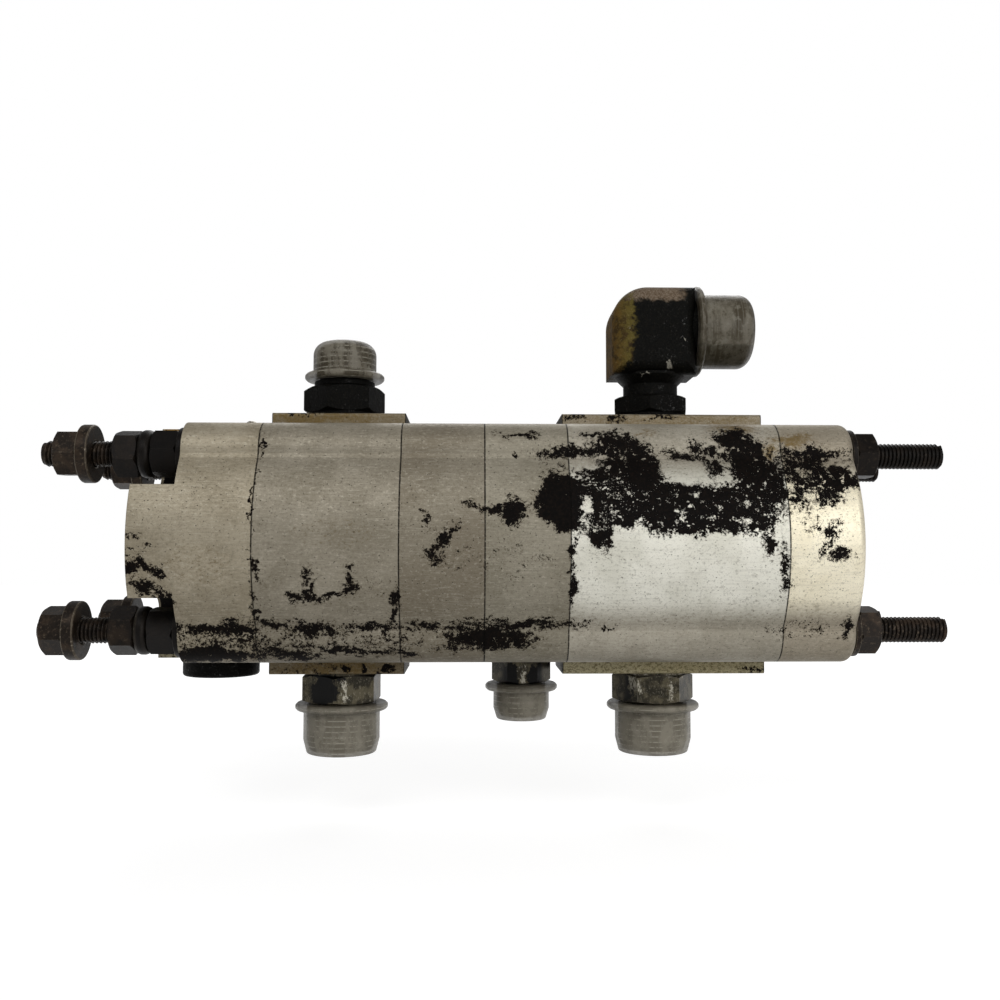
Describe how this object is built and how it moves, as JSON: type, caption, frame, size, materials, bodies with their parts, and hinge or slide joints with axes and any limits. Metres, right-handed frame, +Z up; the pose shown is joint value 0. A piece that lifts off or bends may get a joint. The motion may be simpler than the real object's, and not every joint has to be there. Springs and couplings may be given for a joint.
{
  "type": "tandem gear pump",
  "caption": "Tandem external gear pump with stacked extruded casings on long through studs, capped hydraulic fittings and an outlet elbow.",
  "frame": {"origin": "centre of the stud pattern on the front mounting face", "axes": "+X from the mounting face to the rear, +Z up towards the outlet ports, +Y from the drive shaft to the driven shaft"},
  "size_m": [0.3398, 0.11, 0.1899],
  "materials": {
    "casing": "extruded, oxidised and stained",
    "gear_steel": "ground",
    "bearing_alloy": "machined",
    "bush_bronze": "sintered",
    "seal_rubber": "moulded",
    "fastener_steel": "dark, worn edges",
    "fitting_steel": "plated, dull",
    "black_fitting": "black, greasy",
    "cap_plastic": "clear moulded",
    "tag": "bare"
  },
  "bodies": {
    "casing": {"backup_washers": "black_fitting", "clamp_nuts": "fastener_steel", "clamp_washers": "fastener_steel", "coupling_chamber_seal": "seal_rubber", "cover_plug": "black_fitting", "dowels": "gear_steel", "drain_adapter": "fitting_steel", "front_coupling_housing": "casing", "front_cover": "casing", "front_gear_body": "casing", "front_inlet_adapter": "fitting_steel", "front_interstage_seal": "seal_rubber", "front_stage_body_seals": "seal_rubber", "front_stage_bushes": "bush_bronze", "front_stage_front_bearing_block": "bearing_alloy", "front_stage_pressure_seals": "seal_rubber", "front_stage_rear_bearing_block": "bearing_alloy", "lock_rings": "fastener_steel", "mounting_nuts": "fastener_steel", "mounting_washers": "fastener_steel", "outlet_adapter": "black_fitting", "outlet_adapter_lock_nut": "black_fitting", "outlet_elbow_lock_nut": "black_fitting", "port_o_rings": "seal_rubber", "rear_coupling_housing": "casing", "rear_cover": "casing", "rear_gear_body": "casing", "rear_inlet_adapter": "fitting_steel", "rear_interstage_seal": "seal_rubber", "rear_nuts": "fastener_steel", "rear_stage_body_seals": "seal_rubber", "rear_stage_bushes": "bush_bronze", "rear_stage_front_bearing_block": "bearing_alloy", "rear_stage_pressure_seals": "seal_rubber", "rear_stage_rear_bearing_block": "bearing_alloy", "rear_washers": "fastener_steel", "seal_circlip": "gear_steel", "second_nuts": "fastener_steel", "shaft_seal": "seal_rubber", "tag_plate": "tag", "tag_rivets": "tag", "through_studs": "fastener_steel"},
    "drive_rotor": {"front_drive_gear": "gear_steel", "coupling_sleeve": "gear_steel", "rear_drive_gear": "gear_steel"},
    "front_driven_rotor": {"front_driven_gear": "gear_steel"},
    "rear_driven_rotor": {"rear_driven_gear": "gear_steel"},
    "elbow": {"outlet_elbow": "black_fitting"},
    "front_inlet_cap_body": {"front_inlet_cap": "cap_plastic"},
    "rear_inlet_cap_body": {"rear_inlet_cap": "cap_plastic"},
    "drain_cap_body": {"drain_cap": "cap_plastic"},
    "outlet_adapter_cap_body": {"outlet_adapter_cap": "cap_plastic"},
    "outlet_elbow_cap_body": {"outlet_elbow_cap": "cap_plastic"}
  },
  "joints": [
    {"name": "drive_shaft_spin", "type": "hinge", "parent": "casing", "child": "drive_rotor", "pos_m": [0, -0.0174, 0], "axis": [1, 0, 0], "continuous": true},
    {"name": "front_driven_spin", "type": "hinge", "parent": "casing", "child": "front_driven_rotor", "pos_m": [0.0704, 0.0174, 0], "axis": [1, 0, 0], "continuous": true},
    {"name": "rear_driven_spin", "type": "hinge", "parent": "casing", "child": "rear_driven_rotor", "pos_m": [0.1976, 0.0174, 0], "axis": [1, 0, 0], "continuous": true},
    {"name": "elbow_swivel", "type": "hinge", "parent": "casing", "child": "elbow", "pos_m": [0.1961, 0, 0.051], "axis": [0, 0, 1], "range_deg": [-180, 180]},
    {"name": "front_inlet_cap_pull", "type": "slide", "parent": "casing", "child": "front_inlet_cap_body", "axis": [0, 0, -1], "range_m": [0, 0.025]},
    {"name": "rear_inlet_cap_pull", "type": "slide", "parent": "casing", "child": "rear_inlet_cap_body", "axis": [0, 0, -1], "range_m": [0, 0.025]},
    {"name": "drain_cap_pull", "type": "slide", "parent": "casing", "child": "drain_cap_body", "axis": [0, 0, -1], "range_m": [0, 0.025]},
    {"name": "outlet_adapter_cap_pull", "type": "slide", "parent": "casing", "child": "outlet_adapter_cap_body", "axis": [0, 0, 1], "range_m": [0, 0.025]},
    {"name": "outlet_elbow_cap_pull", "type": "slide", "parent": "elbow", "child": "outlet_elbow_cap_body", "axis": [1, 0, 0], "range_m": [0, 0.025]}
  ],
  "couplings": [
    {"joint": "front_driven_spin", "follows": "drive_shaft_spin", "ratio": -1},
    {"joint": "rear_driven_spin", "follows": "drive_shaft_spin", "ratio": -1}
  ]
}
